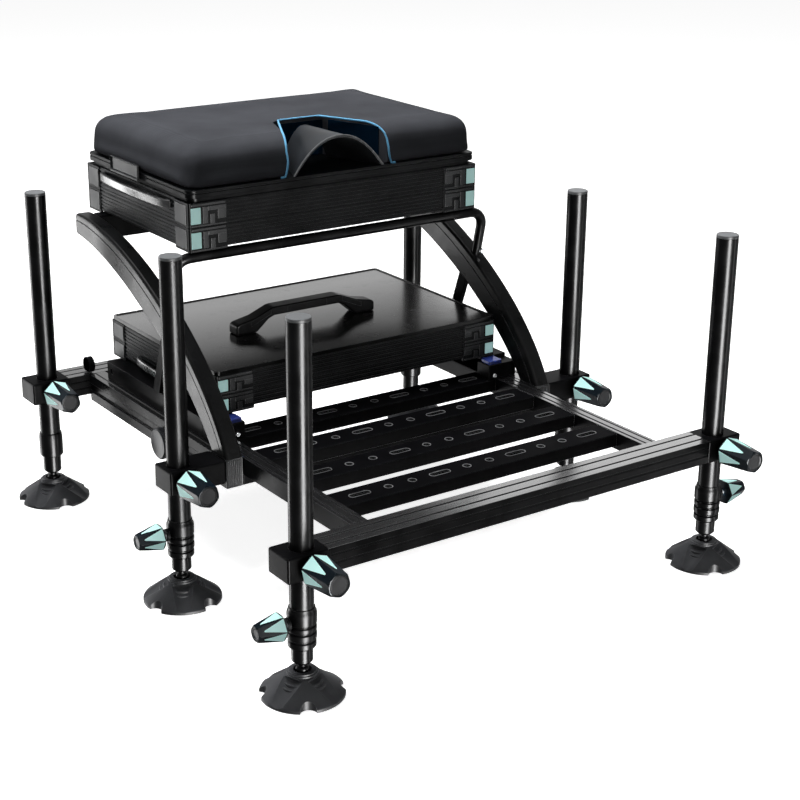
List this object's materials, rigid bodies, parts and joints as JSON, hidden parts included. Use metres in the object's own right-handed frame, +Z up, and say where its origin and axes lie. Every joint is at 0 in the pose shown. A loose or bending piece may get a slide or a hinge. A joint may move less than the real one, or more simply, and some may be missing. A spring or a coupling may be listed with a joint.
{
  "type": "fishing seat box",
  "caption": "Padded fishing seat box with stacked trays on curved arches, a lidded lower box, a sliding slatted footplate and clamped legs on swivelling mud feet.",
  "frame": {"origin": "on the floor, under the centre of the whole box's bounding box", "axes": "+X to the right as seen from the footplate side, +Y from the footplate to the back, +Z up"},
  "size_m": [0.8016, 0.857, 0.5827],
  "materials": {
    "black_alloy": "satin black anodised and powder coated",
    "black_plastic": "moulded black",
    "tray_plastic": "moulded black, satin",
    "knob_plastic": "navy black with pale mint inserts",
    "grey_plastic": "moulded grey",
    "bridge_plastic": "smooth dark grey",
    "blue_plastic": "gloss blue",
    "lid_sheet": "satin dark grey",
    "cushion_fabric": "matte charcoal upholstery with pale blue piping"
  },
  "bodies": {
    "chassis": {"main_rail_left": "black_alloy", "main_rail_right": "black_alloy", "mid_block_left": "black_alloy", "mid_block_right": "black_alloy", "mid_cross_bar": "black_alloy", "rear_beam": "black_alloy", "arch_left": "black_alloy", "arch_right": "black_alloy", "rear_cross_tube": "black_alloy", "seat_support_tube": "black_alloy", "box_support_left": "black_alloy", "box_support_right": "black_alloy", "seat_tray_lower": "tray_plastic", "seat_tray_upper": "tray_plastic"},
    "footplate": {"front_beam": "black_alloy", "footplate_rail_left": "black_alloy", "footplate_rail_right": "black_alloy", "slat_1": "black_alloy", "slat_2": "black_alloy", "slat_3": "black_alloy", "slat_4": "black_alloy"},
    "slide_lock": {"slide_lock": "grey_plastic"},
    "leg_front_left": {"leg_front_left": "black_alloy"},
    "leg_front_right": {"leg_front_right": "black_alloy"},
    "leg_mid_left": {"leg_mid_left": "black_alloy"},
    "leg_mid_right": {"leg_mid_right": "black_alloy"},
    "leg_rear_left": {"leg_rear_left": "black_alloy", "stem_rear_left": "black_alloy"},
    "leg_rear_right": {"leg_rear_right": "black_alloy", "stem_rear_right": "black_alloy"},
    "stem_front_left": {"stem_front_left": "black_alloy"},
    "stem_front_right": {"stem_front_right": "black_alloy"},
    "stem_mid_left": {"stem_mid_left": "black_alloy"},
    "stem_mid_right": {"stem_mid_right": "black_alloy"},
    "foot_front_left": {"foot_front_left": "black_plastic"},
    "foot_front_right": {"foot_front_right": "black_plastic"},
    "foot_mid_left": {"foot_mid_left": "black_plastic"},
    "foot_mid_right": {"foot_mid_right": "black_plastic"},
    "foot_rear_left": {"foot_rear_left": "black_plastic"},
    "foot_rear_right": {"foot_rear_right": "black_plastic"},
    "clamp_knob_front_left": {"clamp_knob_front_left": "knob_plastic"},
    "clamp_knob_front_right": {"clamp_knob_front_right": "knob_plastic"},
    "clamp_knob_mid_left": {"clamp_knob_mid_left": "knob_plastic"},
    "clamp_knob_mid_right": {"clamp_knob_mid_right": "knob_plastic"},
    "clamp_knob_rear_left": {"clamp_knob_rear_left": "knob_plastic"},
    "clamp_knob_rear_right": {"clamp_knob_rear_right": "knob_plastic"},
    "stem_knob_front_left": {"stem_knob_front_left": "knob_plastic"},
    "stem_knob_front_right": {"stem_knob_front_right": "knob_plastic"},
    "stem_knob_mid_left": {"stem_knob_mid_left": "knob_plastic"},
    "stem_knob_mid_right": {"stem_knob_mid_right": "knob_plastic"},
    "seat": {"seat_lid": "tray_plastic", "seat_cushion": "cushion_fabric", "seat_bridge": "bridge_plastic"},
    "seat_latch": {"seat_latch": "tray_plastic"},
    "lower_box": {"box_tray_upper": "tray_plastic", "box_tray_lower": "tray_plastic"},
    "box_lid": {"box_lid": "lid_sheet", "box_lid_handle": "black_plastic"},
    "catch_left": {"box_catch_left": "blue_plastic"},
    "catch_right": {"box_catch_right": "blue_plastic"}
  },
  "joints": [
    {"name": "footplate_slide", "type": "slide", "parent": "chassis", "child": "footplate", "axis": [0, 1, 0], "range_m": [0, 0.185]},
    {"name": "slide_lock_turn", "type": "hinge", "parent": "chassis", "child": "slide_lock", "pos_m": [-0.2768, 0.11015, 0.1635], "axis": [1, 0, 0], "continuous": true},
    {"name": "leg_front_left_slide", "type": "slide", "parent": "footplate", "child": "leg_front_left", "axis": [0, 0, 1], "range_m": [-0.25, 0.04]},
    {"name": "leg_front_right_slide", "type": "slide", "parent": "footplate", "child": "leg_front_right", "axis": [0, 0, 1], "range_m": [-0.25, 0.04]},
    {"name": "leg_mid_left_slide", "type": "slide", "parent": "chassis", "child": "leg_mid_left", "axis": [0, 0, 1], "range_m": [-0.25, 0.04]},
    {"name": "leg_mid_right_slide", "type": "slide", "parent": "chassis", "child": "leg_mid_right", "axis": [0, 0, 1], "range_m": [-0.25, 0.04]},
    {"name": "leg_rear_left_slide", "type": "slide", "parent": "chassis", "child": "leg_rear_left", "axis": [0, 0, 1], "range_m": [-0.25, 0.04]},
    {"name": "leg_rear_right_slide", "type": "slide", "parent": "chassis", "child": "leg_rear_right", "axis": [0, 0, 1], "range_m": [-0.25, 0.04]},
    {"name": "stem_front_left_slide", "type": "slide", "parent": "leg_front_left", "child": "stem_front_left", "axis": [0, 0, 1], "range_m": [-0.08, 0.02]},
    {"name": "stem_front_right_slide", "type": "slide", "parent": "leg_front_right", "child": "stem_front_right", "axis": [0, 0, 1], "range_m": [-0.08, 0.02]},
    {"name": "stem_mid_left_slide", "type": "slide", "parent": "leg_mid_left", "child": "stem_mid_left", "axis": [0, 0, 1], "range_m": [-0.08, 0.02]},
    {"name": "stem_mid_right_slide", "type": "slide", "parent": "leg_mid_right", "child": "stem_mid_right", "axis": [0, 0, 1], "range_m": [-0.08, 0.02]},
    {"name": "foot_front_left_tilt", "type": "hinge", "parent": "stem_front_left", "child": "foot_front_left", "pos_m": [-0.336, -0.34585, 0.015], "axis": [1, 0, 0], "range_deg": [-12, 12]},
    {"name": "foot_front_right_tilt", "type": "hinge", "parent": "stem_front_right", "child": "foot_front_right", "pos_m": [0.336, -0.34585, 0.015], "axis": [1, 0, 0], "range_deg": [-12, 12]},
    {"name": "foot_mid_left_tilt", "type": "hinge", "parent": "stem_mid_left", "child": "foot_mid_left", "pos_m": [-0.336, -0.03985, 0.015], "axis": [1, 0, 0], "range_deg": [-12, 12]},
    {"name": "foot_mid_right_tilt", "type": "hinge", "parent": "stem_mid_right", "child": "foot_mid_right", "pos_m": [0.336, -0.03985, 0.015], "axis": [1, 0, 0], "range_deg": [-12, 12]},
    {"name": "foot_rear_left_tilt", "type": "hinge", "parent": "leg_rear_left", "child": "foot_rear_left", "pos_m": [-0.336, 0.37615, 0.015], "axis": [1, 0, 0], "range_deg": [-12, 12]},
    {"name": "foot_rear_right_tilt", "type": "hinge", "parent": "leg_rear_right", "child": "foot_rear_right", "pos_m": [0.336, 0.37615, 0.015], "axis": [1, 0, 0], "range_deg": [-12, 12]},
    {"name": "clamp_knob_front_left_turn", "type": "hinge", "parent": "footplate", "child": "clamp_knob_front_left", "pos_m": [-0.336, -0.36915, 0.1775], "axis": [0, -1, 0], "continuous": true},
    {"name": "clamp_knob_front_right_turn", "type": "hinge", "parent": "footplate", "child": "clamp_knob_front_right", "pos_m": [0.336, -0.36915, 0.1775], "axis": [0, -1, 0], "continuous": true},
    {"name": "clamp_knob_mid_left_turn", "type": "hinge", "parent": "chassis", "child": "clamp_knob_mid_left", "pos_m": [-0.336, -0.06315, 0.1775], "axis": [0, -1, 0], "continuous": true},
    {"name": "clamp_knob_mid_right_turn", "type": "hinge", "parent": "chassis", "child": "clamp_knob_mid_right", "pos_m": [0.336, -0.06315, 0.1775], "axis": [0, -1, 0], "continuous": true},
    {"name": "clamp_knob_rear_left_turn", "type": "hinge", "parent": "chassis", "child": "clamp_knob_rear_left", "pos_m": [-0.336, 0.35285, 0.1775], "axis": [0, -1, 0], "continuous": true},
    {"name": "clamp_knob_rear_right_turn", "type": "hinge", "parent": "chassis", "child": "clamp_knob_rear_right", "pos_m": [0.336, 0.35285, 0.1775], "axis": [0, -1, 0], "continuous": true},
    {"name": "stem_knob_front_left_turn", "type": "hinge", "parent": "leg_front_left", "child": "stem_knob_front_left", "pos_m": [-0.36, -0.34585, 0.098], "axis": [-1, 0, 0], "continuous": true},
    {"name": "stem_knob_front_right_turn", "type": "hinge", "parent": "leg_front_right", "child": "stem_knob_front_right", "pos_m": [0.36, -0.34585, 0.098], "axis": [1, 0, 0], "continuous": true},
    {"name": "stem_knob_mid_left_turn", "type": "hinge", "parent": "leg_mid_left", "child": "stem_knob_mid_left", "pos_m": [-0.36, -0.03985, 0.098], "axis": [-1, 0, 0], "continuous": true},
    {"name": "stem_knob_mid_right_turn", "type": "hinge", "parent": "leg_mid_right", "child": "stem_knob_mid_right", "pos_m": [0.36, -0.03985, 0.098], "axis": [1, 0, 0], "continuous": true},
    {"name": "seat_hinge", "type": "hinge", "parent": "chassis", "child": "seat", "pos_m": [0.2456, 0.24165, 0.50875], "axis": [0, 1, 0], "range_deg": [0, 90]},
    {"name": "seat_latch_hinge", "type": "hinge", "parent": "chassis", "child": "seat_latch", "pos_m": [-0.2456, 0.26515, 0.513], "axis": [0, -1, 0], "range_deg": [0, 100]},
    {"name": "lower_box_slide", "type": "slide", "parent": "chassis", "child": "lower_box", "axis": [0, -1, 0], "range_m": [0, 0.22]},
    {"name": "box_lid_hinge", "type": "hinge", "parent": "lower_box", "child": "box_lid", "pos_m": [0, 0.34875, 0.276], "axis": [-1, 0, 0], "range_deg": [0, 24]},
    {"name": "catch_left_press", "type": "slide", "parent": "chassis", "child": "catch_left", "axis": [0, 0, -1], "range_m": [0, 0.003], "stiffness_N_per_m": 800, "springref_m": -0.001},
    {"name": "catch_right_press", "type": "slide", "parent": "chassis", "child": "catch_right", "axis": [0, 0, -1], "range_m": [0, 0.003], "stiffness_N_per_m": 800, "springref_m": -0.001}
  ]
}
